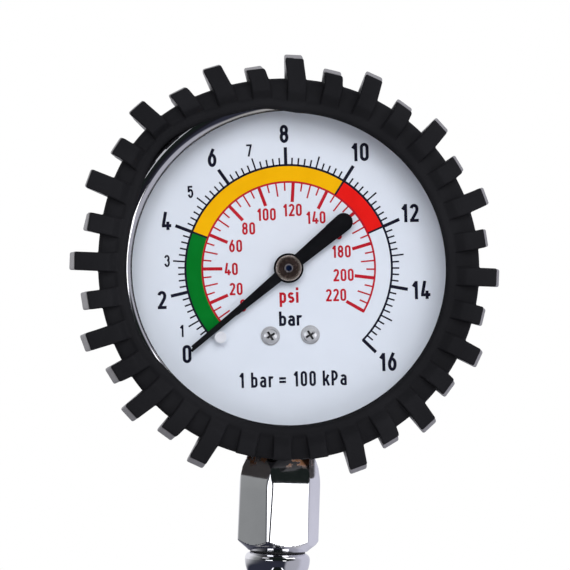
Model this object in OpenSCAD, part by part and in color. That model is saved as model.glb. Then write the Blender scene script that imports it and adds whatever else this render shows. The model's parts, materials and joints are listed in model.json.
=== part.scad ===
// Tyre inflator: a pistol body with a squeeze lever, an air inlet below, a hose outlet in front,
// and a Bourdon pressure gauge in a lugged rubber boot, held on top by a hexagon union nut.
// +Z is up, the dial faces -Y, and the origin is the middle of the air inlet's mouth.

/* [Gauge case] */
// Outside diameter of the gauge case
case_d = 78.2; // [65:0.2:96]
// Depth of the case from its back to its rim
case_depth = 24; // [22:0.5:34]
// Thickness of the case's sheet
case_wall = 0.9; // [0.6:0.1:1.4]
// Thickness of the bezel ring's sheet
bezel_wall = 0.8; // [0.5:0.1:1.2]
// Width of the bezel's front lip
bezel_lip = 4.3; // [2.5:0.1:5]
// Thickness of the lens
lens_t = 2.2; // [1.5:0.1:3]
// Thickness of the lens gasket
gasket_t = 0.6; // [0.4:0.1:1.2]
// Thickness of the dial plate
dial_t = 0.6; // [0.4:0.1:1]
// Height of the dial's face over the stem axis
dial_z = 7; // [6.6:0.1:8]

// Turn of the dial plate on its two posts, anticlockwise
dial_turn = 3.65; // [0:0.05:6]

/* [Rubber boot] */
// Thickness of the boot's wall
boot_wall = 3.5; // [2.5:0.1:5]
// Number of lugs round the boot
lug_n = 32; // [24:2:40]
// Width of a lug
lug_w = 4.2; // [3:0.1:5]
// Height of a long lug at its front
lug_long = 4.5; // [3:0.1:6]
// How much shorter every second lug is
lug_step = 2.3; // [1:0.1:3]
// How much further a lug stands out at its back than at its front
lug_draft = 2.5; // [0:0.1:3]
// Radius of the opening in the boot's back
boot_back_r = 30; // [28:0.5:31]

/* [Movement] */
// Module of the pinion and sector teeth
gear_m = 0.25; // [0.2:0.01:0.3]
// Teeth on the pinion
pinion_n = 12; // [12:1:14]
// Teeth on the sector's full circle
sector_n = 120; // [108:2:132]
// Turn of the pointer over the whole scale
pointer_sweep = 263.6; // [240:1:270]
// Angle of the pointer at zero, clockwise from the top
pointer_rest = -131.9; // [-135:0.1:-125]
// Length of the pointer from its axis to its tip
pointer_len = 29.4; // [24:0.2:31]
// Length of the pointer's tail
pointer_tail = 18.6; // [14:0.2:22]
// Width of the Bourdon tube
tube_w = 9; // [7:0.5:10]
// Thickness of the Bourdon tube
tube_t = 2.6; // [2:0.1:3]

/* [Union nut] */
// Width across the flats of the union nut
nut_af = 17; // [16.5:0.5:20]
// Height of the union nut
nut_h = 22.6; // [20:0.2:28]
// Turn of the nut about its axis
nut_turn = 14.2; // [0:0.2:60]

/* [Body] */
// Height of the barrel's axis over the inlet's mouth
barrel_z = 116; // [108:1:140]
// Radius of the barrel
barrel_r = 12.5; // [11.5:0.5:15]
// Barrel's length from the gauge's axis to its nose
nose_y = 42; // [36:1:52]
// Barrel's length from the gauge's axis to its rear
rear_y = 26; // [24:1:31]
// Height of the gauge boss over the barrel
boss_h = 11.5; // [9:0.5:16]
// Radius of the gauge boss
boss_r = 7.55; // [7.5:0.05:9]
// Half of the handle's width
handle_w = 10.5; // [10:0.5:13]
// Half of the handle's depth
handle_d = 14; // [13:0.5:16]

/* [Ports] */
// Radius of the tapped ports
port_r = 5.9; // [5.5:0.1:6.2]
// Depth of the inlet's thread
inlet_depth = 12; // [10:0.5:14]
// Radius of the hose outlet's thread
outlet_r = 6.5; // [6:0.1:7]
// Length of the hose outlet's thread
outlet_len = 12; // [9:0.5:16]

/* [Lever] */
// Swing of the lever
lever_sweep = 9; // [5:0.5:9]
// Width of the lever
lever_w = 15.4; // [14.8:0.2:20]
// Thickness of the lever's sheet
lever_t = 1.6; // [1.2:0.1:2]
// Radius of the lever's pivot pin
pin_r = 2; // [1.6:0.1:2.4]
// Height of the pivot over the push rod
pivot_up = 14; // [13:0.5:18]
// Travel of the bleed button
bleed_travel = 2; // [1:0.1:2.4]

/* [Hidden] */
$fn = 64;
fit = 0.05;
joint_gap = 0.1;
seat_gap = 0.1;
seal_t = 0.8;

// Gauge, with z out of the dial and y up, and 0 on the stem's axis.
case_r = case_d / 2;
case_in_r = case_r - case_wall;
case_back = -12;
case_rim = case_back + case_depth;
lens_z = case_rim + gasket_t;
lip_z = lens_z + lens_t;
bezel_in_r = case_r + fit;
bezel_r = bezel_in_r + bezel_wall;
bezel_front = lip_z + 1.2;
bezel_open_r = bezel_r - bezel_lip;
bezel_back = 8;
dial_r = case_in_r - 0.4;
dial_back = dial_z - dial_t;
boot_in_r = bezel_r + fit;
boot_r = boot_in_r + boot_wall;
boot_lip_r = bezel_open_r - 0.4;
boot_lip_t = 1.6;
boot_front = bezel_front + fit + boot_lip_t;
boot_back = case_back - 3;
lug_front = boot_front + 1.9;
lug_back = boot_back + 2;

// Body heights.
boss_top = barrel_z + barrel_r + boss_h;
washer_t = 0.4;
nut_z = boss_top + washer_t;
nut_top = nut_z + nut_h;
nut_tuck = 0.6;
gauge_z = nut_top + boot_r - nut_tuck;
stem_r = 6.5;
thread_r = port_r - fit;
stub_top = boss_top + washer_t + 9.4;
stem_washer_t = 0.9;
stem_end = stub_top + stem_washer_t + 2 * fit;

// Movement.
pinion_pr = gear_m * pinion_n / 2;
sector_pr = gear_m * sector_n / 2;
gear_gap = pinion_pr + sector_pr;
sector_dir = -20;
sector_x = gear_gap * cos(sector_dir);
sector_y = gear_gap * sin(sector_dir);
sector_sweep = pointer_sweep * pinion_n / sector_n;
tail_len = 5.5;
tail_dir = sector_dir - sector_sweep / 2;
tail_x = sector_x + tail_len * cos(tail_dir);
tail_y = sector_y + tail_len * sin(tail_dir);
link_len = 10;
link_dir = 75;
tip_x = tail_x + link_len * cos(link_dir);
tip_y = tail_y + link_len * sin(link_dir);
tube_r = case_in_r - 4.5;
tube_start = 5;
// The tube's root ends this far inside the side of the socket's block.
block_w = 10;
tube_root = 1.278;
tube_end = 270 - asin((block_w - tube_root) / tube_r);
plate_back = -3;
plate_front = 3.2;
plate_t = 1;
gear_t = 1;
dial_post_x = 4.6;
dial_post_y = -15.5;
post_r = 2.1;
pillars = [[-5.5, -5.5], [16.5, 3], [8.5, -11]];
block_low = -(case_in_r - 2.4);
block_high = -19.5;
ledge_high = -7;
arbor_r = 0.7;
sector_seat_r = arbor_r + 0.29;
bush_r = 2;
pillar_r = 0.9;
link_pin_r = 0.5;
spring_out_r = 5.9;
case_screw_x = 6;
case_screw_y = -24;
plate_screw_x = 5;
plate_screw_y = -10;
plug_y = 18;
plug_r = 5.2;
pointer_half = 1.36;
neck_half = 0.78;
tip_half = 0.6;
dial_screw_turn = 30;
stop_r = 1.35;
stop_along = 22.2;
stop_side = stop_r + pointer_half + (tip_half - pointer_half) * stop_along / pointer_len + 0.03;

// Body parts along Y.
inlet_face = 6;
valve_z = barrel_z - 32;
pivot_z = valve_z + pivot_up;
pivot_y = handle_d + 8;
rod_r = 1.5;
rod_end = handle_d + 4.2;
pad_y = rod_end + joint_gap;
cap_face = -handle_d - 2.5;
seat_y = -3;
lug_half = lever_w / 2 - lever_t - 0.3;
bleed_r = 5;
spigot_r = 8;
filter_r = 4.6;
cap_r = 7.5;
guide_r = 3.5;
disc_y = seat_y - 2.7;
spring_y = cap_face + 2.6;
bleed_seat_y = 9 - rear_y;
button_y = -rear_y - 4.2 - bleed_travel;

// Puts a shape drawn in the gauge's own frame in its place.
module on_gauge() {
  translate([0, 0, gauge_z]) rotate([90, 0, 0]) children();
}

// Puts a shape drawn along z on an axis that runs along +Y.
module along_y(y, z) {
  translate([0, y, z]) rotate([-90, 0, 0]) children();
}

// Extrudes a (y, z) outline from x = -w to x = w.
module across_x(w) {
  translate([-w, 0, 0]) rotate([90, 0, 90]) linear_extrude(2 * w) children();
}

module ring(outer, inner, height) {
  difference() {
    cylinder(r = outer, h = height);
    translate([0, 0, -1]) cylinder(r = inner, h = height + 2);
  }
}

module seal_ring(mid_r, cord_r) {
  rotate_extrude() translate([mid_r, 0]) circle(r = cord_r, $fn = 32);
}

// A hexagon with both ends chamfered, and a bore.
module hex_head(af, height, chamfer, bore) {
  corner = af / 2 / cos(30);
  difference() {
    intersection() {
      cylinder(r = corner, h = height, $fn = 6);
      rotate_extrude() polygon([
        [0, 0], [corner - chamfer * 1.7, 0], [corner + 0.1, chamfer], [corner + 0.1, height - chamfer],
        [corner - chamfer * 1.7, height], [0, height]
      ]);
    }
    if (bore > 0) translate([0, 0, -1]) cylinder(r = bore, h = height + 2);
  }
}

// A closed coil spring: a round wire swept round a helix.
module coil_spring(coil_r, wire_r, length, turns) {
  steps = 20;
  sides = 8;
  n = turns * steps;
  rise = (length - 2 * wire_r) / n;
  points = [
    for (i = [0:n], j = [0:sides - 1])
      let (a = i * 360 / steps, b = j * 360 / sides, r = coil_r + wire_r * cos(b))
        [r * cos(a), r * sin(a), wire_r + i * rise + wire_r * sin(b)]
  ];
  skin = [
    for (i = [0:n - 1], j = [0:sides - 1])
      let (k = (j + 1) % sides)
        [i * sides + j, i * sides + k, (i + 1) * sides + k, (i + 1) * sides + j]
  ];
  first = [[for (j = [0:sides - 1]) sides - 1 - j]];
  last = [[for (j = [0:sides - 1]) n * sides + j]];
  polyhedron(points, concat(skin, first, last), convexity = 10);
}

// Involute tooth outline: half the tooth's angle at a radius.
function involute(a) = tan(a) * 180 / PI - a;
function tooth_half(n, r) =
  let (base = gear_m * n / 2 * cos(20), at = r > base ? acos(base / r) : 0)
    90 / n * 0.84 + involute(20) - involute(at);
function polar(r, a) = [r * cos(a), r * sin(a)];
function tooth_radii(n) =
  let (pitch = gear_m * n / 2)
    [for (s = [-1.3, -0.6, -0.2, 0.3, 0.8]) pitch + s * gear_m];
function tooth_points(n, a) = concat(
  [for (r = tooth_radii(n)) polar(r, a - tooth_half(n, r))],
  [for (i = [4:-1:0]) let (r = tooth_radii(n)[i]) polar(r, a + tooth_half(n, r))]
);

// ---------------------------------------------------------------- body

module handle_outline() {
  for (s = [-1, 1]) translate([0, s * (handle_d - handle_w)]) circle(r = handle_w);
  square([2 * handle_w, 2 * (handle_d - handle_w)], center = true);
}

module barrel_outline() {
  rim = 1.5;
  nose_r = 11;
  polygon([
    [0, -rear_y], [barrel_r - rim, -rear_y], [barrel_r, rim - rear_y], [barrel_r, nose_y - 14],
    [nose_r, nose_y - 9], [nose_r, nose_y - 1], [nose_r - 1, nose_y], [0, nose_y]
  ]);
}

// Gauge boss: a round bead, widest just under its top, on a neck that flares into the barrel.
module boss_solid() {
  rim = 1.6;
  bead = 7.2;
  mid = boss_top - rim;
  neck = boss_r - 0.9;
  flare = barrel_r - 1.5;
  rotate_extrude() {
    translate([boss_r - rim, mid]) circle(r = rim);
    intersection() {
      translate([boss_r - bead, mid]) circle(r = bead);
      translate([0, mid - bead]) square([boss_r, bead]);
    }
    polygon([
      [0, barrel_z], [flare, barrel_z], [flare, barrel_z + barrel_r - 5],
      [neck, mid - 3.4], [neck, mid], [boss_r - rim, boss_top], [0, boss_top]
    ]);
  }
}

// Turned boss round the inlet, chamfered to the handle.
module inlet_boss() {
  edge = 1;
  rotate_extrude() polygon([
    [0, inlet_face], [12 - edge, inlet_face], [12, inlet_face + edge], [12, inlet_face + 9],
    [handle_w, inlet_face + 12], [0, inlet_face + 12]
  ]);
}

module body_bores() {
  inlet_top = inlet_depth + 8;
  passage = 7;
  // Inlet socket, rising passage and the two ends of the valve bore.
  translate([0, 0, inlet_face - 1]) cylinder(r = spigot_r + fit, h = 19 - inlet_face + seat_gap);
  translate([0, -passage, inlet_top - 3]) cylinder(r = 3.5, h = valve_z - inlet_top + 3);
  along_y(cap_face - 1, valve_z) cylinder(r = cap_r + fit, h = seat_y - cap_face - 5);
  along_y(cap_face + 6, valve_z) cylinder(r = 6.5, h = seat_y - cap_face - 6);
  along_y(seat_y - 1, valve_z) cylinder(r = 3.2, h = 6);
  along_y(seat_y + 4, valve_z) cylinder(r = 4.2, h = 5.2);
  along_y(seat_y + 8, valve_z) cylinder(r = guide_r + fit, h = handle_d + 6);
  // Passage up to the barrel, and the barrel's own bores.
  translate([0, seat_y + 6, valve_z]) cylinder(r = 2.6, h = barrel_z - valve_z);
  along_y(-14, barrel_z) cylinder(r = 3.6, h = nose_y + 3);
  along_y(nose_y - 12, barrel_z) cylinder(r = port_r, h = 13);
  along_y(-rear_y - 1, barrel_z) cylinder(r = bleed_r + fit, h = rear_y - 9);
  // Gauge passage and the lever's pivot.
  translate([0, 0, barrel_z]) cylinder(r = 2, h = 60);
  translate([-20, pivot_y, pivot_z]) rotate([0, 90, 0]) cylinder(r = pin_r + fit, h = 40);
}

module body_casting() {
  color("gainsboro") difference() {
    union() {
      translate([0, 0, inlet_face + 5]) linear_extrude(barrel_z - inlet_face - 5) handle_outline();
      inlet_boss();
      along_y(0, barrel_z) rotate([0, 0, 90]) rotate_extrude() barrel_outline();
      along_y(cap_face, valve_z) cylinder(r = 10, h = 12);
      boss_solid();
      translate([0, 0, boss_top - 1]) cylinder(r = thread_r, h = stub_top - boss_top + 1);
      // Lug that carries the lever's pivot under the barrel.
      translate([-lug_half, pivot_y, pivot_z]) rotate([0, 90, 0]) cylinder(r = 5, h = 2 * lug_half);
      translate([-lug_half, 0, pivot_z - 5]) cube([2 * lug_half, pivot_y, barrel_z - pivot_z]);
      translate([-lug_half, 0, pivot_z]) cube([2 * lug_half, pivot_y + 5, barrel_z - pivot_z]);
    }
    body_bores();
  }
}

module inlet_fitting() {
  color("lightgray") difference() {
    union() {
      hex_head(19, inlet_face - seal_t, 1, 0);
      translate([0, 0, inlet_face - 2]) cylinder(r = spigot_r - 0.8, h = 3);
      translate([0, 0, inlet_face + 0.8]) cylinder(r = spigot_r, h = 17.9 - inlet_face - 0.8);
    }
    translate([0, 0, -1]) cylinder(r = port_r, h = inlet_depth + 1);
    translate([0, 0, inlet_depth - 1]) cylinder(r = filter_r, h = 10);
  }
}

module inlet_seal() {
  color("peru") translate([0, 0, inlet_face - seal_t]) ring(spigot_r + 1.2, spigot_r + fit, seal_t);
}

module inlet_filter() {
  color("goldenrod") translate([0, 0, inlet_depth]) difference() {
    cylinder(r = filter_r - fit, h = 5.6);
    translate([0, 0, -1]) cylinder(r = 3.4, h = 5.4);
  }
}

module outlet_nipple() {
  bore = 3;
  color("gainsboro") difference() {
    union() {
      along_y(nose_y - 11, barrel_z) cylinder(r = thread_r, h = 12);
      along_y(nose_y + seal_t, barrel_z) hex_head(17, 7.2, 1, 0);
      along_y(nose_y + 7.5, barrel_z) cylinder(r = outlet_r - 0.7, h = 2);
      along_y(nose_y + 9, barrel_z) cylinder(r = outlet_r, h = outlet_len);
    }
    along_y(nose_y - 12, barrel_z) cylinder(r = bore, h = outlet_len + 24);
    along_y(nose_y + outlet_len + 6.6, barrel_z) cylinder(r1 = bore - 0.5, r2 = bore + 2, h = 2.5);
  }
}

module outlet_seal() {
  color("peru") along_y(nose_y, barrel_z) ring(8, port_r, seal_t);
}

// ---------------------------------------------------------------- lever and valve

function lever_line() = [
  [pad_y, valve_z + 7], [pad_y, valve_z - 6], [pad_y + 10.7, 18], [pad_y + 13.2, 11]
];

module lever_strip(back, front) {
  line = lever_line();
  polygon(concat(
    [for (p = line) [p[0] - back, p[1]]],
    [for (i = [len(line) - 1:-1:0]) [line[i][0] + front, line[i][1]]]
  ));
}

module lever_cheek() {
  eye = 5.6;
  difference() {
    union() {
      lever_strip(2.2, lever_t);
      translate([pivot_y, pivot_z]) circle(r = eye);
      polygon([
        [pivot_y - eye, pivot_z], [pad_y - 2.2, valve_z + 6.5], [pad_y, valve_z - 4],
        [pad_y + lever_t, valve_z - 4], [pivot_y + eye, pivot_z]
      ]);
    }
    translate([pivot_y, pivot_z]) circle(r = pin_r + fit);
  }
}

module lever() {
  half = lever_w / 2;
  color("silver") {
    across_x(half - 0.1) lever_strip(0, lever_t);
    for (s = [-1, 1]) translate([s * (half - lever_t / 2), 0, 0]) across_x(lever_t / 2) lever_cheek();
  }
}

module lever_pin() {
  half = lever_w / 2;
  color("lightgray") translate([0, pivot_y, pivot_z]) rotate([0, 90, 0]) difference() {
    union() {
      translate([0, 0, -half - 2.2]) cylinder(r = pin_r, h = 2 * half + 2.4);
      translate([0, 0, half + 0.15]) cylinder(r = pin_r + 1.4, h = 1.3);
    }
    translate([0, 0, -half - 1.3]) ring(pin_r + 1, pin_r - 0.5, 0.9);
  }
}

module lever_clip() {
  half = lever_w / 2;
  color("dimgray") translate([-half - 1.2, pivot_y, pivot_z]) rotate([0, 90, 0]) difference() {
    ring(pin_r + 1.6, pin_r - 0.5 + fit, 0.7);
    translate([-1.1, 0, -1]) cube([2.2, 10, 3]);
  }
}

module valve_guide() {
  length = handle_d + 1.2 - (seat_y + 9);
  color("goldenrod") along_y(seat_y + 9 + seat_gap, valve_z) difference() {
    union() {
      cylinder(r = guide_r, h = length);
      translate([0, 0, length - 1.2]) cylinder(r = guide_r + 1.1, h = 1.2);
    }
    translate([0, 0, -1]) cylinder(r = rod_r + fit, h = length + 4);
    translate([0, 0, -1]) cylinder(r = 2.7, h = 2.4);
  }
}

module rod_seal() {
  color("dimgray") along_y(seat_y + 9.9, valve_z) seal_ring(rod_r + 0.6, 0.5);
}

module valve_stem() {
  color("lightgray") {
    along_y(disc_y, valve_z) cylinder(r = 5, h = 1.5);
    along_y(seat_y - 1.3, valve_z) cylinder(r = rod_r, h = rod_end - rod_r - seat_y + 1.3);
    translate([0, rod_end - rod_r, valve_z]) sphere(r = rod_r);
  }
}

module valve_seal() {
  color("black") along_y(seat_y - 1.2, valve_z) ring(4.8, rod_r, 1.2);
}

module valve_spring() {
  color("silver") along_y(spring_y, valve_z)
    coil_spring(3.4, 0.35, disc_y - spring_y - 2 * fit, 5);
}

module valve_cap() {
  color("gainsboro") difference() {
    union() {
      along_y(cap_face - seal_t - 5, valve_z) hex_head(17, 5, 1, 0);
      along_y(cap_face - seal_t - 1, valve_z) cylinder(r = cap_r - 0.9, h = 3);
      along_y(cap_face + 0.9, valve_z) cylinder(r = cap_r, h = 4.9);
    }
    along_y(cap_face + 2.5, valve_z) cylinder(r = 4.4, h = 8);
  }
}

module cap_seal() {
  color("peru") along_y(cap_face - seal_t, valve_z) ring(cap_r + 1, cap_r + fit, seal_t);
}

module bleed_bush() {
  color("goldenrod") along_y(-rear_y, barrel_z) difference() {
    union() {
      translate([0, 0, 0.9]) cylinder(r = bleed_r, h = 8.1);
      translate([0, 0, -1]) cylinder(r = bleed_r - 0.7, h = 3);
      translate([0, 0, -seal_t - 3]) hex_head(13, 3, 0.8, 0);
    }
    translate([0, 0, -6]) cylinder(r = rod_r + fit, h = 20);
    translate([0, 0, -6]) cylinder(r = 3.1, h = 4.6);
    // Vent holes that the seal covers while the valve is shut.
    for (s = [-1, 1]) translate([s * 2.5, 0, -3]) cylinder(r = 0.5, h = 16, $fn = 24);
  }
}

module bleed_bush_seal() {
  color("peru") along_y(-rear_y - seal_t, barrel_z) ring(6.2, bleed_r + fit, seal_t);
}

module bleed_stem() {
  color("firebrick") {
    along_y(button_y - 3, barrel_z) cylinder(r = 4.2, h = 3);
    along_y(button_y - 0.5, barrel_z) cylinder(r = rod_r, h = bleed_seat_y + 2.6 - button_y);
    along_y(bleed_seat_y + 1, barrel_z) cylinder(r = 3.9, h = 1.2);
  }
}

module bleed_seal() {
  color("black") along_y(bleed_seat_y, barrel_z) ring(3.8, rod_r, 1);
}

module bleed_spring() {
  color("silver") along_y(button_y + fit, barrel_z)
    coil_spring(2.4, 0.3, -rear_y - 1.4 - button_y - 2 * fit, 4);
}

// ---------------------------------------------------------------- neck

module boss_washer() {
  color("dimgray") translate([0, 0, boss_top]) ring(port_r + 0.5, port_r, washer_t);
}

module coupling_nut() {
  corner = nut_af / 2 / cos(30);
  foot = nut_af / 2 - 1.6;
  crown = nut_af / 2 - 1;
  color("gainsboro") translate([0, 0, nut_z]) difference() {
    intersection() {
      rotate([0, 0, nut_turn]) cylinder(r = corner, h = nut_h, $fn = 6);
      rotate_extrude() polygon([
        [0, 0], [foot, 0], [corner - 0.5, 2], [corner + 0.1, 3.4], [corner + 0.1, nut_h - 4.8],
        [corner - 0.4, nut_h - 3.6], [crown, nut_h], [0, nut_h]
      ]);
    }
    translate([0, 0, -1]) cylinder(r = port_r, h = nut_h + 2);
  }
}

module stem_washer() {
  color("peru") translate([0, 0, stub_top + fit]) ring(port_r - 0.3, 2, stem_washer_t);
}

// ---------------------------------------------------------------- gauge

module tube_section(grow) {
  side = tube_t / 2 + grow;
  half = tube_w / 2 - tube_t / 2;
  for (s = [-1, 1]) translate([tube_r, s * half]) circle(r = side, $fn = 32);
  translate([tube_r - side, -half]) square([2 * side, 2 * half]);
}

// The two places where the dial plate is screwed down.
module dial_places() {
  rotate([0, 0, dial_turn]) for (s = [-1, 1]) translate([s * dial_post_x, dial_post_y]) children();
}

module gauge_socket() {
  stem_top = block_low + 1;
  depth = 6.5;
  stem_low = nut_top + 0.4 - gauge_z;
  color("goldenrod") on_gauge() difference() {
    union() {
      translate([-block_w, block_low, -depth])
        cube([2 * block_w, block_high - block_low, depth + dial_back - seat_gap]);
      translate([-8, block_high - 1, -depth])
        cube([16, ledge_high - block_high + 1, depth + plate_back - fit]);
      dial_places() translate([0, 0, -depth]) cylinder(r = post_r, h = depth + dial_back - fit);
      translate([0, stem_low, 0]) rotate([-90, 0, 0]) cylinder(r = stem_r, h = stem_top - stem_low);
      translate([0, stem_end - gauge_z, 0]) rotate([-90, 0, 0])
        cylinder(r = thread_r, h = stem_low - stem_end + gauge_z + 1);
    }
    // Air passage up the stem and across to the tube's root.
    translate([0, stem_end - gauge_z - 1, 0]) rotate([-90, 0, 0])
      cylinder(r = 1.5, h = gauge_z - stem_end + 1 - tube_r + 2.5);
    translate([0, 1 - tube_r, 0]) rotate([0, -90, 0]) cylinder(r = 1.2, h = 9);
    rotate([0, 0, tube_end - 6]) rotate_extrude(angle = 6.4) tube_section(fit);
    // Tapped holes for the case, movement and dial screws.
    for (s = [-1, 1]) {
      translate([s * case_screw_x, case_screw_y, -depth - 1]) cylinder(r = 1.5 + fit, h = 9);
      translate([s * plate_screw_x, plate_screw_y, -depth - 1]) cylinder(r = 1 + fit, h = 8);
    }
    dial_places() translate([0, 0, dial_back - 6]) cylinder(r = 1 + fit, h = 8);
  }
}

module restrictor() {
  color("peru") translate([0, 0, stem_end + 0.5]) ring(1.5 - fit, 0.3, 4);
}

module gauge_case() {
  corner = 3;
  color("dimgray") on_gauge() difference() {
    rotate_extrude() difference() {
      polygon([
        [0, case_back], [case_r - corner, case_back], [case_r, case_back + corner],
        [case_r, case_rim], [0, case_rim]
      ]);
      polygon([
        [-1, case_back + case_wall], [case_in_r - corner + 0.4, case_back + case_wall],
        [case_in_r, case_back + corner + 0.4], [case_in_r, case_rim + 1], [-1, case_rim + 1]
      ]);
    }
    rotate([90, 0, 0]) cylinder(r = stem_r + 0.2, h = case_r + 2);
    for (s = [-1, 1]) translate([s * case_screw_x, case_screw_y, case_back - 1]) cylinder(r = 1.6, h = 3);
    translate([0, plug_y, case_back - 1]) cylinder(r = plug_r, h = 3);
  }
}

module case_screws() {
  color("silver") on_gauge() for (s = [-1, 1]) translate([s * case_screw_x, case_screw_y, 0]) {
    difference() {
      translate([0, 0, case_back - 1.8]) cylinder(r = 2.7, h = 1.8);
      translate([-0.4, -3, case_back - 2.8]) cube([0.8, 6, 1.7]);
    }
    translate([0, 0, case_back - 0.5]) cylinder(r = 1.5, h = 8);
  }
}

module blowout_plug() {
  color("black") on_gauge() translate([0, plug_y, case_back]) {
    translate([0, 0, -1.2]) cylinder(r = plug_r + 1.8, h = 1.2);
    translate([0, 0, -0.5]) cylinder(r = plug_r - fit, h = 1.8);
    translate([0, 0, case_wall + 0.1]) cylinder(r = plug_r + 0.7, h = 1);
  }
}

module bourdon_tube() {
  color("peru") on_gauge() rotate([0, 0, tube_start]) difference() {
    rotate_extrude(angle = tube_end - tube_start) tube_section(0);
    rotate([0, 0, -1]) rotate_extrude(angle = tube_end - tube_start + 2) tube_section(-0.4);
  }
}

module tube_tip() {
  color("goldenrod") on_gauge() {
    rotate([0, 0, -2]) rotate_extrude(angle = 2 + tube_start) tube_section(0);
    translate([tip_x - 1.6, tip_y - 1.5, -1.4]) cube([tube_r - tip_x + 1.6, 3, 2]);
    translate([tip_x, tip_y, -1]) cylinder(r = link_pin_r, h = 3);
  }
}

module plate_outline() {
  polygon([[-8, -12.5], [11.5, -12.5], [20, -8], [20, 5], [8, 8], [-8, 8]]);
}

module movement_plate(z, holes) {
  translate([0, 0, z]) linear_extrude(plate_t) difference() {
    plate_outline();
    circle(r = arbor_r + fit);
    translate([sector_x, sector_y]) circle(r = arbor_r + fit);
    for (p = pillars) translate(p) circle(r = pillar_r + fit);
    if (holes) for (s = [-1, 1]) translate([s * plate_screw_x, plate_screw_y]) circle(r = 1 + fit);
  }
}

module movement_back_plate() {
  color("goldenrod") on_gauge() movement_plate(plate_back, true);
}

module movement_front_plate() {
  color("goldenrod") on_gauge() {
    movement_plate(plate_front, false);
    // Stud that holds the hairspring's outer end.
    rotate([0, 0, 90]) translate([spring_out_r + 0.65, 0, 1.6])
      cylinder(r = 0.5, h = plate_front - 1.5, $fn = 24);
  }
}

module plate_pillars() {
  gap = plate_front - plate_back - plate_t;
  color("gold") on_gauge() for (p = pillars) translate([p[0], p[1], plate_back]) {
    cylinder(r = pillar_r, h = 2 * plate_t + gap + 0.8);
    translate([0, 0, plate_t]) cylinder(r = pillar_r + 0.6, h = gap);
    translate([0, 0, 2 * plate_t + gap]) cylinder(r = pillar_r + 0.8, h = 0.8, $fn = 6);
  }
}

module movement_screws() {
  color("silver") on_gauge() for (s = [-1, 1]) translate([s * plate_screw_x, plate_screw_y, 0]) {
    translate([0, 0, plate_back - 3]) cylinder(r = 1, h = 3 + plate_t);
    difference() {
      translate([0, 0, plate_back + plate_t]) cylinder(r = 1.8, h = 0.9);
      translate([-0.25, -2, plate_back + plate_t + 0.5]) cube([0.5, 4, 1]);
    }
  }
}

module pinion_arbor() {
  points = [for (i = [0:pinion_n - 1]) each tooth_points(pinion_n, sector_dir + (i + 0.5) * 360 / pinion_n)];
  color("lightgray") on_gauge() {
    translate([0, 0, plate_back - 0.5]) cylinder(r = arbor_r, h = 15.2);
    translate([0, 0, -1.2]) linear_extrude(2.4) polygon(points);
    translate([0, 0, 1.6]) cylinder(r = 1.2, h = 0.9);
  }
}

module sector_gear() {
  pitch = 360 / sector_n;
  last = ceil(sector_sweep / pitch) + 1;
  mesh_dir = 180 + sector_dir;
  rim = sector_pr - 3.2;
  a_low = mesh_dir - pitch * (last + 0.5);
  a_high = mesh_dir + pitch * 1.5;
  color("gold") on_gauge() translate([sector_x, sector_y, -gear_t / 2]) difference() {
    union() {
      linear_extrude(gear_t) {
        // Toothed rim, closed along its inner arc.
        polygon(concat(
          [for (k = [last:-1:-1]) each tooth_points(sector_n, mesh_dir - k * pitch)],
          [for (i = [0:10]) polar(rim, a_high + (a_low - a_high) * i / 10)]
        ));
        // Two spokes and the tail.
        for (a = [a_low + 5, a_high - 5]) rotate([0, 0, a]) translate([0, -1]) square([sector_pr - 2, 2]);
        rotate([0, 0, tail_dir]) translate([0, -1.5]) square([tail_len, 3]);
        circle(r = 2.6);
        translate([tail_len * cos(tail_dir), tail_len * sin(tail_dir)]) circle(r = 1.5);
      }
      translate([tail_len * cos(tail_dir), tail_len * sin(tail_dir), 0]) cylinder(r = link_pin_r, h = 2.6);
    }
    translate([0, 0, -1]) cylinder(r = sector_seat_r, h = 4);
  }
}

module sector_arbor() {
  color("lightgray") on_gauge() translate([sector_x, sector_y, 0]) {
    translate([0, 0, plate_back - 0.4]) cylinder(r = arbor_r, h = plate_front - plate_back + plate_t + 0.8);
    translate([0, 0, -1]) cylinder(r = sector_seat_r, h = 2.4);
  }
}

module link() {
  slot = 3.1;
  half = 1.35;
  color("goldenrod") on_gauge() translate([tail_x, tail_y, 0.8]) rotate([0, 0, link_dir])
    linear_extrude(0.6) difference() {
      union() {
        circle(r = half);
        translate([0, -half]) square([link_len + 0.6, 2 * half]);
        translate([link_len + 0.6, 0]) circle(r = half);
      }
      circle(r = link_pin_r + fit);
      // Slot that the tube's tip pin runs along while the tail lifts.
      for (x = [link_len - slot, link_len]) translate([x, 0]) circle(r = 0.85);
      translate([link_len - slot, -0.85]) square([slot, 1.7]);
    }
}

module hairspring() {
  turns = 4;
  steps = 24;
  inner = 1.6;
  pitch = (spring_out_r - inner) / turns;
  half = 0.09;
  n = turns * steps;
  function arm(i, side) = polar(inner + pitch * i / steps + side * half, 90 + 360 * i / steps);
  color("gold") on_gauge() translate([0, 0, 1.75]) linear_extrude(0.6)
    polygon(concat([for (i = [0:n]) arm(i, 1)], [for (i = [n:-1:0]) arm(i, -1)]));
}

module dial_plate() {
  color("white") on_gauge() translate([0, 0, dial_back]) linear_extrude(dial_t) difference() {
    circle(r = dial_r, $fn = 128);
    circle(r = 2);
    dial_places() circle(r = 1.1);
    stop_place() circle(r = 0.8 + fit);
  }
}

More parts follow.
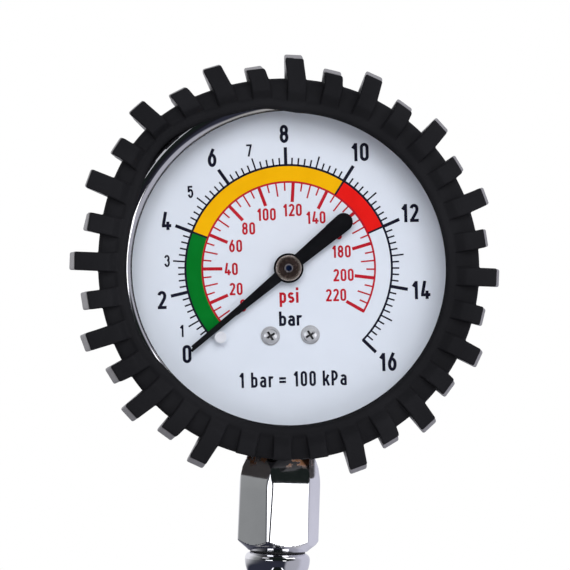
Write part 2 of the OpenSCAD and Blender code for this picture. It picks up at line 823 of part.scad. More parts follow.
// Pan heads with a flange below, a domed top and a cross recess.
module dial_screws() {
  head_r = 1.85;
  flange_r = 2.2;
  flange_t = 0.25;
  side_h = 0.75;
  dome_h = 0.55;
  cross_l = 2.3;
  cross_w = 0.5;
  color("silver") on_gauge() dial_places() translate([0, 0, dial_z]) {
    translate([0, 0, -5]) cylinder(r = 1, h = 5.2);
    difference() {
      rotate_extrude() polygon(concat(
        [[0, 0], [flange_r, 0], [flange_r, flange_t], [head_r, flange_t]],
        [for (a = [0:10:90]) [head_r * cos(a), side_h + dome_h * sin(a)]]
      ));
      for (a = [dial_screw_turn, dial_screw_turn + 90]) rotate([0, 0, a])
        translate([-cross_w / 2, -cross_l / 2, 0.6]) cube([cross_w, cross_l, 2]);
    }
  }
}

// Beside the pointer at rest, on the side away from the scale.
module stop_place() {
  rotate([0, 0, 90 - pointer_rest]) translate([stop_along, stop_side]) children();
}

module stop_pin() {
  color("whitesmoke") on_gauge() stop_place() {
    translate([0, 0, dial_back - 0.4]) cylinder(r = 0.8, h = 1.4);
    translate([0, 0, dial_z]) ring(stop_r, 0.8, 2.9);
    translate([0, 0, dial_z]) cylinder(r = 0.8, h = 2.6);
  }
}

module pointer() {
  tail_half = 2.12;
  tail_x0 = tail_half - pointer_tail;
  step = 0.68 * pointer_tail;
  hub = 3.43;
  neck = 0.52 * pointer_len;
  color("black") on_gauge() translate([0, 0, dial_z + 2.2]) rotate([0, 0, 90 - pointer_rest])
    linear_extrude(0.5) difference() {
      union() {
        polygon(concat(
          [
            [0, -pointer_half], [neck, -neck_half], [pointer_len - 0.7, -tip_half],
            [pointer_len - 0.7, -0.15], [pointer_len, 0.05], [pointer_len, tip_half],
            [neck + 0.8, neck_half - 0.12], [neck + 0.6, neck_half], [0, pointer_half],
            [-step, 1.9], [-step - 0.2, 2]
          ],
          [for (a = [90:7.5:270]) [tail_x0 + tail_half * cos(a), tail_half * sin(a)]],
          [[-step - 0.2, -2], [-step, -1.9]]
        ));
        circle(r = hub);
      }
      circle(r = bush_r + fit / 2);
    }
}

module pointer_bush() {
  rim_r = 2.97;
  dish_r = 2.35;
  boss = 1.15;
  seat = 2.7;
  color("rosybrown") on_gauge() translate([0, 0, dial_z]) rotate_extrude() polygon([
    [arbor_r, 0.8], [bush_r, 0.8], [bush_r, seat], [rim_r, seat], [rim_r, seat + 0.6],
    [rim_r - 0.2, seat + 0.9], [dish_r + 0.15, seat + 0.9], [dish_r, seat + 0.45],
    [boss, seat + 0.45], [boss - 0.1, seat + 0.8], [arbor_r, seat + 0.8]
  ]);
}

module lens_gasket() {
  color("dimgray") on_gauge() translate([0, 0, case_rim]) ring(case_r - 0.1, case_in_r - 1, gasket_t);
}

module lens() {
  color("lightcyan", 0.4) on_gauge() translate([0, 0, lens_z])
    cylinder(r = case_r - 0.15, h = lens_t, $fn = 128);
}

// The bezel's front is rolled to a half-round lip.
module bezel_ring() {
  roll = 1.7;
  roll_z = bezel_front - roll;
  mid_r = (bezel_r + bezel_open_r) / 2;
  half = (bezel_r - bezel_open_r) / 2;
  from = asin((lip_z - roll_z) / roll);
  steps = 14;
  color("silver") on_gauge() rotate_extrude($fn = 128) polygon(concat(
    [[bezel_in_r, lip_z], [bezel_in_r, bezel_back], [bezel_r, bezel_back]],
    [for (i = [0:steps]) let (a = (180 - from) * i / steps)
      [mid_r + half * cos(a), roll_z + roll * sin(a)]]
  ));
}

module boot_ring() {
  shoulder = 1.5;
  between = 360 / lug_n / 2;
  rotate([0, 0, between]) rotate_extrude($fn = 128) polygon([
    [boot_back_r, boot_back], [boot_r - shoulder, boot_back], [boot_r, boot_back + shoulder],
    [boot_r, bezel_front - 0.6], [boot_r - shoulder, boot_front - 0.6],
    [boot_lip_r + 1.9, boot_front - 0.6], [boot_lip_r + 1.5, boot_front],
    [boot_lip_r + 0.6, boot_front], [boot_lip_r, boot_front - 0.6], [boot_lip_r, bezel_front + fit],
    [boot_in_r, bezel_front + fit], [boot_in_r, case_back - fit], [boot_back_r, case_back - fit]
  ]);
}

module boot_lug(height, draft) {
  tip = boot_r + height;
  rotate([90, 0, 0]) translate([0, 0, -lug_w / 2]) linear_extrude(lug_w) polygon([
    [boot_in_r + 0.8, lug_back], [tip + draft, lug_back], [tip, lug_front - 0.8],
    [tip - 0.8, lug_front], [boot_in_r, lug_front], [boot_lip_r + 2.1, boot_front - 0.7],
    [boot_lip_r + 2.1, bezel_front + 0.5], [boot_in_r + 0.8, bezel_front + 0.5]
  ]);
}

module gauge_boot() {
  color("#232326") on_gauge() difference() {
    union() {
      boot_ring();
      // Long and short lugs take turns, and those over the stem are left out.
      for (i = [0:lug_n - 1]) let (a = -90 + i * 360 / lug_n)
        if (abs(sin((a + 90) / 2)) > sin(360 / lug_n * 0.75))
          rotate([0, 0, a]) boot_lug(i % 2 == 0 ? lug_long : lug_long - lug_step, lug_draft);
      for (s = [-1, 0, 1]) rotate([0, 0, s * 360 / lug_n - 90]) boot_lug(-1.8, 0);
    }
    rotate([90, 0, 0]) cylinder(r = nut_af / 2 + 0.8, h = boot_r + 20);
  }
}

body_casting();
inlet_fitting();
inlet_seal();
inlet_filter();
outlet_nipple();
outlet_seal();
lever();
lever_pin();
lever_clip();
valve_guide();
rod_seal();
valve_stem();
valve_seal();
valve_spring();
valve_cap();
cap_seal();
bleed_bush();
bleed_bush_seal();
bleed_stem();
bleed_seal();
bleed_spring();
boss_washer();
coupling_nut();
stem_washer();
gauge_socket();
restrictor();
gauge_case();
case_screws();
blowout_plug();
bourdon_tube();
tube_tip();
movement_back_plate();
movement_front_plate();
plate_pillars();
movement_screws();
pinion_arbor();
sector_gear();
sector_arbor();
link();
hairspring();
dial_plate();
dial_screws();
stop_pin();
pointer();
pointer_bush();
lens_gasket();
lens();
bezel_ring();
gauge_boot();
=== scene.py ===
import json
import math
from math import cos, sin, pi, radians, sqrt

import bmesh
import bpy
from mathutils import Matrix, Vector


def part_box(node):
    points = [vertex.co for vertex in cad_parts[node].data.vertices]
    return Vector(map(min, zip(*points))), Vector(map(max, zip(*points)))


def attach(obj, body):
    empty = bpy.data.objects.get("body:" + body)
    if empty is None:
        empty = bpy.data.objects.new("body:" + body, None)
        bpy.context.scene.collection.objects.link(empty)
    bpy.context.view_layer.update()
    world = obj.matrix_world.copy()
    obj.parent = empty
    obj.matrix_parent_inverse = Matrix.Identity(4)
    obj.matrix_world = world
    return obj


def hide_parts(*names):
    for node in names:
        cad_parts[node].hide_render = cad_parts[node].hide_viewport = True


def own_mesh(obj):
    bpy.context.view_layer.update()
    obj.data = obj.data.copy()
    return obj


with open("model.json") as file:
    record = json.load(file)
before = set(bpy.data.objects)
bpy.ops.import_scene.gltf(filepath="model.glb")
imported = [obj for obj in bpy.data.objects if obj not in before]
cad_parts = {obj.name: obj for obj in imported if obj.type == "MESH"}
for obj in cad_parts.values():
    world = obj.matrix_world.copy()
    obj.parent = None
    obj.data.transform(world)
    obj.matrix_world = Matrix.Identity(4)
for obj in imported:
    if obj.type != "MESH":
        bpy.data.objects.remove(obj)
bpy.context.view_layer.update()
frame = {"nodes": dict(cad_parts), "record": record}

nodes = frame["nodes"]
MM = 0.001
ROOT = "pistol"

# ---------------------------------------------------------------- places taken from the frame

dial_low, dial_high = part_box("dial_plate")
GAUGE_Z = (dial_low.z + dial_high.z) / 2 / MM      # the gauge's axis, mm above the origin
DIAL_Z = -dial_low.y / MM                          # the dial's face in front of that axis
bezel_low, bezel_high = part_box("bezel_ring")
BEZEL_R = (bezel_high.x - bezel_low.x) / 2 / MM
BEZEL_FRONT = -bezel_low.y / MM
boot_low, boot_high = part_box("gauge_boot")
LUG_FRONT = -boot_low.y / MM
BOOT_BACK = -boot_high.y / MM
nut_low, nut_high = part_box("coupling_nut")
NUT_Z = nut_low.z / MM
NUT_H = (nut_high.z - nut_low.z) / MM
LUG_TOP = boot_high.z / MM - GAUGE_Z               # a long lug's back, out from the gauge's axis


def gauge(x, y, z):
    """A point of the gauge's own frame (x right, y up, z out of the dial, mm) in the row frame, metres."""
    return Vector((x * MM, -z * MM, (GAUGE_Z + y) * MM))


def clock(r, angle):
    """(x, y) at radius r and an angle in degrees, clockwise from the top."""
    return r * sin(radians(angle)), r * cos(radians(angle))


def smooth_step(a, b, x):
    t = min(1.0, max(0.0, (x - a) / (b - a)))
    return t * t * (3 - 2 * t)


def bump(x, mid, width):
    return math.exp(-0.5 * ((x - mid) / width) ** 2)


# ---------------------------------------------------------------- meshes

def make(name, verts, faces, material, body=ROOT, smooth=None, slots=()):
    mesh = bpy.data.meshes.new(name)
    mesh.from_pydata([tuple(v) for v in verts], [], faces)
    mesh.validate()
    obj = bpy.data.objects.new(name, mesh)
    bpy.context.scene.collection.objects.link(obj)
    bm = bmesh.new()
    bm.from_mesh(mesh)
    bmesh.ops.remove_doubles(bm, verts=bm.verts, dist=1e-6)
    bmesh.ops.dissolve_degenerate(bm, edges=bm.edges, dist=5e-7)
    bmesh.ops.recalc_face_normals(bm, faces=bm.faces)
    bm.to_mesh(mesh)
    bm.free()
    mesh.materials.append(material)
    if smooth is not None:
        smooth_by(obj, smooth)
    if body:
        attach(obj, body)
    return obj


def smooth_by(obj, degrees):
    """Smooth shading, with edges sharper than that kept sharp."""
    mesh = obj.data
    bm = bmesh.new()
    bm.from_mesh(mesh)
    limit = radians(degrees)
    for f in bm.faces:
        f.smooth = True
    for e in bm.edges:
        e.smooth = len(e.link_faces) == 2 and e.calc_face_angle(0.0) < limit
    bm.to_mesh(mesh)
    bm.free()


def apply_modifiers(obj):
    bpy.context.view_layer.update()
    dg = bpy.context.evaluated_depsgraph_get()
    mesh = bpy.data.meshes.new_from_object(obj.evaluated_get(dg))
    obj.modifiers.clear()
    obj.data = mesh
    return obj


def ring_faces(rings, count, closed=True):
    """Quads between rings of count points each. Closed joins the last ring to the first."""
    faces = []
    for i in range(rings if closed else rings - 1):
        a, b = i * count, (i + 1) % rings * count
        faces += [(a + j, a + (j + 1) % count, b + (j + 1) % count, b + j) for j in range(count)]
    return faces


def revolve(profile, steps, place):
    """Vertices and faces of a closed (r, z) profile turned about z; place(r, angle, z) gives a point."""
    verts = [place(r, 2 * pi * i / steps, z) for i in range(steps) for r, z in profile]
    return verts, ring_faces(steps, len(profile))


def on_axis(r, a, z):
    """Revolve about the gauge's axis."""
    return gauge(r * cos(a), r * sin(a), z)


def upright(r, a, z):
    """Revolve about the handle's vertical axis."""
    return Vector((r * cos(a) * MM, r * sin(a) * MM, z * MM))


def arc(cx, cy, rx, ry, a0, a1, n=10):
    return [(cx + rx * cos(radians(a0 + (a1 - a0) * i / n)), cy + ry * sin(radians(a0 + (a1 - a0) * i / n)))
            for i in range(n + 1)]


# ---------------------------------------------------------------- materials

def new_material(name):
    m = bpy.data.materials.new(name)
    m.use_nodes = True
    tree = m.node_tree
    shader = tree.nodes["Principled BSDF"]
    return m, tree, shader


def noise(tree, scale, detail=4.0, rough=0.55):
    coord = tree.nodes.new("ShaderNodeTexCoord")
    tex = tree.nodes.new("ShaderNodeTexNoise")
    tex.inputs["Scale"].default_value = scale
    tex.inputs["Detail"].default_value = detail
    tex.inputs["Roughness"].default_value = rough
    tree.links.new(coord.outputs["Object"], tex.inputs["Vector"])
    return tex.outputs["Fac"]


def ramp(tree, source, stops):
    node = tree.nodes.new("ShaderNodeValToRGB")
    el = node.color_ramp.elements
    el[0].position, el[0].color = stops[0][0], (*stops[0][1], 1)
    el[1].position, el[1].color = stops[-1][0], (*stops[-1][1], 1)
    for pos, col in stops[1:-1]:
        e = el.new(pos)
        e.color = (*col, 1)
    tree.links.new(source, node.inputs["Fac"])
    return node.outputs["Color"]


def spread(tree, source, low, high, a=0.3, b=0.7):
    node = tree.nodes.new("ShaderNodeMapRange")
    node.inputs["From Min"].default_value = a
    node.inputs["From Max"].default_value = b
    node.inputs["To Min"].default_value = low
    node.inputs["To Max"].default_value = high
    tree.links.new(source, node.inputs["Value"])
    return node.outputs["Result"]


def multiply(tree, a, b):
    node = tree.nodes.new("ShaderNodeMath")
    node.operation = "MULTIPLY"
    tree.links.new(a, node.inputs[0])
    tree.links.new(b, node.inputs[1])
    return node.outputs["Value"]


def coordinate(tree, axis, space="Object"):
    """One axis of a point, or of the surface's direction with space "Normal"."""
    coord = tree.nodes.new("ShaderNodeTexCoord")
    split = tree.nodes.new("ShaderNodeSeparateXYZ")
    tree.links.new(coord.outputs[space], split.inputs["Vector"])
    return split.outputs[axis]


def feed(tree, value, socket):
    """A socket is linked, a colour or number is set."""
    if isinstance(value, bpy.types.NodeSocket):
        tree.links.new(value, socket)
    else:
        socket.default_value = value


def mix_color(tree, factor, old, new):
    node = tree.nodes.new("ShaderNodeMix")
    node.data_type = "RGBA"
    feed(tree, factor, node.inputs["Factor"])
    tree.links.new(old, node.inputs[6])
    feed(tree, new, node.inputs[7])
    return node.outputs[2]


def recolor(tree, shader, factor, new):
    """Turn the shader's own colour into another where the factor is 1."""
    socket = shader.inputs["Base Color"]
    tree.links.new(mix_color(tree, factor, socket.links[0].from_socket, new), socket)


def roughen(tree, shader, factor, value):
    """Turn the shader's own roughness into another where the factor is 1."""
    socket = shader.inputs["Roughness"]
    node = tree.nodes.new("ShaderNodeMix")
    tree.links.new(factor, node.inputs["Factor"])
    tree.links.new(socket.links[0].from_socket, node.inputs[2])
    node.inputs[3].default_value = value
    tree.links.new(node.outputs[0], socket)


def bump_node(tree, shader, source, strength, distance):
    node = tree.nodes.new("ShaderNodeBump")
    node.inputs["Strength"].default_value = strength
    node.inputs["Distance"].default_value = distance
    tree.links.new(source, node.inputs["Height"])
    tree.links.new(node.outputs["Normal"], shader.inputs["Normal"])


def metal(name, dark, light, rough, grain=900, bump_by=0.02, metallic=1.0):
    """A metal with a mottled colour, a grain in its roughness and a fine bump."""
    m, tree, s = new_material(name)
    s.inputs["Metallic"].default_value = metallic
    broad = noise(tree, 60, 3)
    tree.links.new(ramp(tree, broad, [(0.3, dark), (0.7, light)]), s.inputs["Base Color"])
    fine = noise(tree, grain, 3)
    tree.links.new(spread(tree, fine, rough * 0.75, rough * 1.3), s.inputs["Roughness"])
    bump_node(tree, s, fine, bump_by, 0.0001)
    return m


def rubber(name, dark, light, rough, grain=2500):
    m, tree, s = new_material(name)
    broad = noise(tree, 45, 5)
    tree.links.new(ramp(tree, broad, [(0.3, dark), (0.72, light)]), s.inputs["Base Color"])
    fine = noise(tree, grain, 6, rough=0.7)
    tree.links.new(spread(tree, broad, rough * 0.9, rough * 1.12), s.inputs["Roughness"])
    bump_node(tree, s, fine, 0.12, 0.00012)
    s.inputs["Specular IOR Level"].default_value = 0.45
    return m


def paint(name, dark, light, rough, grain=1500, bump_by=0.03, specular=0.5):
    m, tree, s = new_material(name)
    broad = noise(tree, 90, 4)
    tree.links.new(ramp(tree, broad, [(0.3, dark), (0.7, light)]), s.inputs["Base Color"])
    fine = noise(tree, grain, 3)
    tree.links.new(spread(tree, fine, rough * 0.85, rough * 1.15), s.inputs["Roughness"])
    bump_node(tree, s, fine, bump_by, 0.00005)
    s.inputs["Specular IOR Level"].default_value = specular
    return m


MAT = {
    "chrome_casting": metal("chrome_casting", (0.72, 0.72, 0.74), (0.86, 0.86, 0.88), 0.06, 350, 0.03),
    "plated_steel": metal("plated_steel", (0.50, 0.50, 0.50), (0.68, 0.68, 0.69), 0.24, 1200),
    "spring_steel": metal("spring_steel", (0.40, 0.41, 0.43), (0.58, 0.59, 0.61), 0.2, 1500),
    "brass": metal("brass", (0.58, 0.40, 0.14), (0.78, 0.58, 0.25), 0.2, 1000),
    "copper": metal("copper", (0.55, 0.27, 0.15), (0.75, 0.42, 0.27), 0.24, 1000),
    "bush_bronze": metal("bush_bronze", (0.20, 0.15, 0.12), (0.42, 0.34, 0.28), 0.24, 800),
    "seal_rubber": rubber("seal_rubber", (0.012, 0.012, 0.013), (0.022, 0.022, 0.024), 0.5),
    "black_steel": paint("black_steel", (0.012, 0.012, 0.013), (0.02, 0.02, 0.022), 0.35),
    "dial_white": paint("dial_white", (0.70, 0.735, 0.79), (0.73, 0.765, 0.82), 0.45, 900, 0.01, 0.1),
    "pointer_black": paint("pointer_black", (0.004, 0.004, 0.005), (0.008, 0.008, 0.009), 0.55,
                           1500, 0.02, 0.06),
    "button_red": paint("button_red", (0.38, 0.015, 0.015), (0.52, 0.03, 0.03), 0.3),
    "pin_white": paint("pin_white", (0.62, 0.62, 0.64), (0.75, 0.75, 0.77), 0.3),
}
PRINT = {
    "black": paint("print_black", (0.006, 0.006, 0.016), (0.012, 0.012, 0.024), 0.5, specular=0.06),
    "green": paint("print_green", (0.000, 0.150, 0.012), (0.001, 0.185, 0.020), 0.5, specular=0.06),
    "yellow": paint("print_yellow", (0.84, 0.41, 0.000), (0.92, 0.47, 0.002), 0.5, specular=0.06),
    "red": paint("print_red", (0.74, 0.008, 0.006), (0.82, 0.014, 0.010), 0.5, specular=0.06),
    "scale": paint("print_scale", (0.42, 0.010, 0.018), (0.50, 0.014, 0.027), 0.5, specular=0.06),
}


def vector_math(tree, operation, source, constant=None):
    node = tree.nodes.new("ShaderNodeVectorMath")
    node.operation = operation
    tree.links.new(source, node.inputs[0])
    if constant is not None:
        node.inputs[1].default_value = constant
    return node.outputs["Value" if operation == "LENGTH" else "Vector"]


def axis_distance(tree, x=0.0, z=GAUGE_Z, half=0.0):
    """How far a point is, in metres, from the nearer of two lines along Y, half mm left and right of x, z."""
    coord = tree.nodes.new("ShaderNodeTexCoord")
    place = vector_math(tree, "SUBTRACT", coord.outputs["Object"], (x * MM, 0, z * MM))
    place = vector_math(tree, "ABSOLUTE", place)
    place = vector_math(tree, "SUBTRACT", place, (half * MM, 0, 0))
    return vector_math(tree, "LENGTH", vector_math(tree, "MULTIPLY", place, (1, 0, 1)))


def hub_bronze():
    """Turned bronze coloured in rings: a pale rim, which is a painted highlight, a dark dish and a bright boss
    in its middle.
    """
    m = metal("hub_bronze", (0.20, 0.15, 0.12), (0.42, 0.34, 0.28), 0.24, 800)
    tree, s = m.node_tree, m.node_tree.nodes["Principled BSDF"]
    r = spread(tree, axis_distance(tree), 0.0, 1.0, 0.0, 3.0 * MM)
    # The pale outer ring of these bands is a painted highlight.
    bands = ramp(tree, r, [
        (0.0, (0.60, 0.58, 0.62)), (0.30, (0.56, 0.54, 0.58)), (0.35, (0.035, 0.018, 0.016)),
        (0.74, (0.05, 0.026, 0.022)), (0.79, (0.30, 0.25, 0.21)), (1.0, (0.46, 0.40, 0.35))])
    recolor(tree, s, 0.85, bands)
    s.inputs["Metallic"].default_value = 0.7
    return m


def screw_steel():
    """Bright domed heads, with painted shade in their cross recesses."""
    m = metal("screw_steel", (0.62, 0.62, 0.63), (0.86, 0.86, 0.87), 0.2, 1500, bump_by=0.04, metallic=0.45)
    tree, s = m.node_tree, m.node_tree.nodes["Principled BSDF"]
    low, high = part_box("dial_screws")
    flange_r = (high.z - low.z) / 2 / MM
    mid = (low + high) / 2 / MM
    r = axis_distance(tree, mid.x, mid.z, (high.x - low.x) / 2 / MM - flange_r)
    inner = spread(tree, r, 1.0, 0.0, 1.2 * MM, 1.32 * MM)
    deep = spread(tree, coordinate(tree, "Y"), 0.0, 0.94, -(DIAL_Z + 1.10) * MM, -(DIAL_Z + 0.98) * MM)
    # Painted shade: the bottoms of the cross recesses are coloured near black, as where shadow falls in them.
    recolor(tree, s, multiply(tree, inner, deep), (0.02, 0.02, 0.018, 1))
    return m


def glass():
    """Clear lens: what is behind it shows through, and it reflects by angle."""
    m, tree, s = new_material("lens_clear")
    tree.nodes.remove(s)
    out = next(n for n in tree.nodes if n.type == "OUTPUT_MATERIAL")
    clear = tree.nodes.new("ShaderNodeBsdfTransparent")
    clear.inputs["Color"].default_value = (0.985, 0.99, 1.0, 1)
    gloss = tree.nodes.new("ShaderNodeBsdfGlossy")
    gloss.inputs["Roughness"].default_value = 0.02
    gloss.inputs["Color"].default_value = (1, 1, 1, 1)
    fresnel = tree.nodes.new("ShaderNodeFresnel")
    fresnel.inputs["IOR"].default_value = 1.3
    mix = tree.nodes.new("ShaderNodeMixShader")
    tree.links.new(fresnel.outputs["Fac"], mix.inputs["Fac"])
    tree.links.new(clear.outputs["BSDF"], mix.inputs[1])
    tree.links.new(gloss.outputs["BSDF"], mix.inputs[2])
    tree.links.new(mix.outputs["Shader"], out.inputs["Surface"])
    return m


def tyre_rubber():
    """Black rubber, smoother on the lugs' tips and sides, with a paler colour painted there as a sheen of
    light.
    """
    m = rubber("boot_rubber", (0.008, 0.008, 0.0095), (0.013, 0.013, 0.015), 0.6)
    tree, s = m.node_tree, m.node_tree.nodes["Principled BSDF"]
    facing = tree.nodes.new("ShaderNodeMath")
    facing.operation = "ABSOLUTE"
    tree.links.new(coordinate(tree, "Y", "Normal"), facing.inputs[0])
    flank = spread(tree, facing.outputs["Value"], 1.0, 0.0, 0.12, 0.3)
    tips_from, tips_to = 44.3 * MM, 46.0 * MM
    out = spread(tree, axis_distance(tree), 0.0, 1.0, tips_from, tips_to)
    tip_sheen = multiply(tree, flank, out)
    # Painted sheen: the lugs' tips and sides are coloured paler, as where light catches them.
    recolor(tree, s, tip_sheen, (0.11, 0.10, 0.095, 1))
    roughen(tree, s, tip_sheen, 0.3)
    s.inputs["Specular IOR Level"].default_value = 0.1
    return m


def worn_nut():
    """Plated nut whose copper shows in patches round its top."""
    m = metal("chrome_nut", (0.74, 0.74, 0.76), (0.88, 0.88, 0.90), 0.07, 700, bump_by=0.03)
    tree, s = m.node_tree, m.node_tree.nodes["Principled BSDF"]
    nut_top = NUT_Z + NUT_H
    high = spread(tree, coordinate(tree, "Z"), 0.0, 1.0, (nut_top - 3.4) * MM, (nut_top - 2.2) * MM)
    patches = spread(tree, noise(tree, 420, 3), 0.0, 1.0, 0.52, 0.57)
    bare = multiply(tree, high, patches)
    recolor(tree, s, bare, (0.62, 0.30, 0.16, 1))
    roughen(tree, s, bare, 0.42)
    return m


MAT["boot_rubber"] = tyre_rubber()
MAT["chrome_nut"] = worn_nut()
MAT["lens_clear"] = glass()
MAT["hub_bronze"] = hub_bronze()
MAT["blued_steel"] = metal("blued_steel", (0.010, 0.028, 0.12), (0.025, 0.06, 0.20), 0.3, 1200)
MAT["screw_steel"] = screw_steel()

# Every CAD node takes the finish of its slot or one of its own, and a hard part's edges are rounded, in mm.
slot_of = {s["node"]: s["material_slot"] for s in frame["record"]["subparts"]}
ROUNDED = {
    "body_casting": 0.35, "lever": 0.25, "inlet_fitting": 0.25, "outlet_nipple": 0.25, "valve_cap": 0.25,
    "bleed_bush": 0.2, "bleed_stem": 0.3, "pointer": 0.08, "pointer_bush": 0.05, "dial_screws": 0.1,
    "stop_pin": 0.1, "pinion_arbor": 0.15, "lever_pin": 0.2, "gauge_case": 0.2, "case_screws": 0.2,
    "gauge_socket": 0.2,
}
OWN = {"pointer_bush": "hub_bronze", "pinion_arbor": "blued_steel", "dial_screws": "screw_steel"}
for name, obj in nodes.items():
    obj.data.materials.clear()
    obj.data.materials.append(MAT[OWN.get(name, slot_of[name])])
    if name in ROUNDED:
        bevel = obj.modifiers.new("edges", "BEVEL")
        bevel.width = ROUNDED[name] * MM
        bevel.segments = 3
        bevel.limit_method = "ANGLE"
        bevel.angle_limit = radians(40)
        bevel.harden_normals = False

# ---------------------------------------------------------------- dial print

TURN = -3.65           # of the print against the gauge's stem, degrees clockwise
PER_BAR = 16.94
MID_BAR = 8
ARC_R = 23.75
PSI_R = 19.93
ZERO = -131.9
LAST_BAR = 16
LAST_PSI = 220
PSI_PER_BAR = 14.504
PRINT_X, PRINT_Y = 0.09, -0.035


def bar_angle(bar):
    return TURN + (bar - MID_BAR) * PER_BAR


def psi_angle(psi):
    return bar_angle(psi / PSI_PER_BAR)


def print_at(x, y, z):
    """A point of the print, which sits a little off the gauge's axis."""
    return gauge(x + PRINT_X, y + PRINT_Y, z)


class Ink:
    """Flat closed prisms of ink, each on the dial's face."""

    def __init__(self):
        self.verts, self.faces, self.layer = [], [], 0

    def strip(self, left, right, top, closed=False):
        base = DIAL_Z - 0.004
        top = DIAL_Z + top + 0.0006 * (self.layer % 5)
        self.layer += 1
        start, n = len(self.verts), len(left)
        for (lx, ly), (rx, ry) in zip(left, right):
            self.verts += [print_at(x, y, z) for z in (top, base) for x, y in ((lx, ly), (rx, ry))]
        for i in range(n if closed else n - 1):
            a, b = start + 4 * i, start + 4 * ((i + 1) % n)
            self.faces += [(a, b, b + 1, a + 1), (a + 2, a + 3, b + 3, b + 2),
                           (a, a + 2, b + 2, b), (a + 1, b + 1, b + 3, a + 3)]
        if not closed:
            e = start + 4 * (n - 1)
            self.faces += [(start, start + 1, start + 3, start + 2), (e, e + 2, e + 3, e + 1)]

    def stroke(self, points, width, top=0.02, closed=False):
        """A line of even width along points, with mitred corners and flat ends."""
        n, left, right = len(points), [], []
        for i, (x, y) in enumerate(points):
            px, py = points[i - 1] if (i > 0 or closed) else points[0]
            qx, qy = points[(i + 1) % n] if (i < n - 1 or closed) else points[-1]
            d1, d2 = Vector((x - px, y - py)), Vector((qx - x, qy - y))
            d1 = d1.normalized() if d1.length > 1e-9 else d2.normalized()
            d2 = d2.normalized() if d2.length > 1e-9 else d1
            n1, n2 = Vector((-d1.y, d1.x)), Vector((-d2.y, d2.x))
            m = n1 + n2
            m = m.normalized() if m.length > 1e-6 else n1
            k = width / 2 / max(0.45, m.dot(n1))
            left.append((x + m.x * k, y + m.y * k))
            right.append((x - m.x * k, y - m.y * k))
        self.strip(left, right, top, closed)

    def band(self, r0, r1, a0, a1, top=0.01):
        n = max(2, round(abs(a1 - a0) / 2))
        angles = [a0 + (a1 - a0) * i / n for i in range(n + 1)]
        self.strip([clock(r1, a) for a in angles], [clock(r0, a) for a in angles], top)

    def tick(self, angle, r0, r1, width):
        self.stroke([clock(r0, angle), clock(r1, angle)], width)


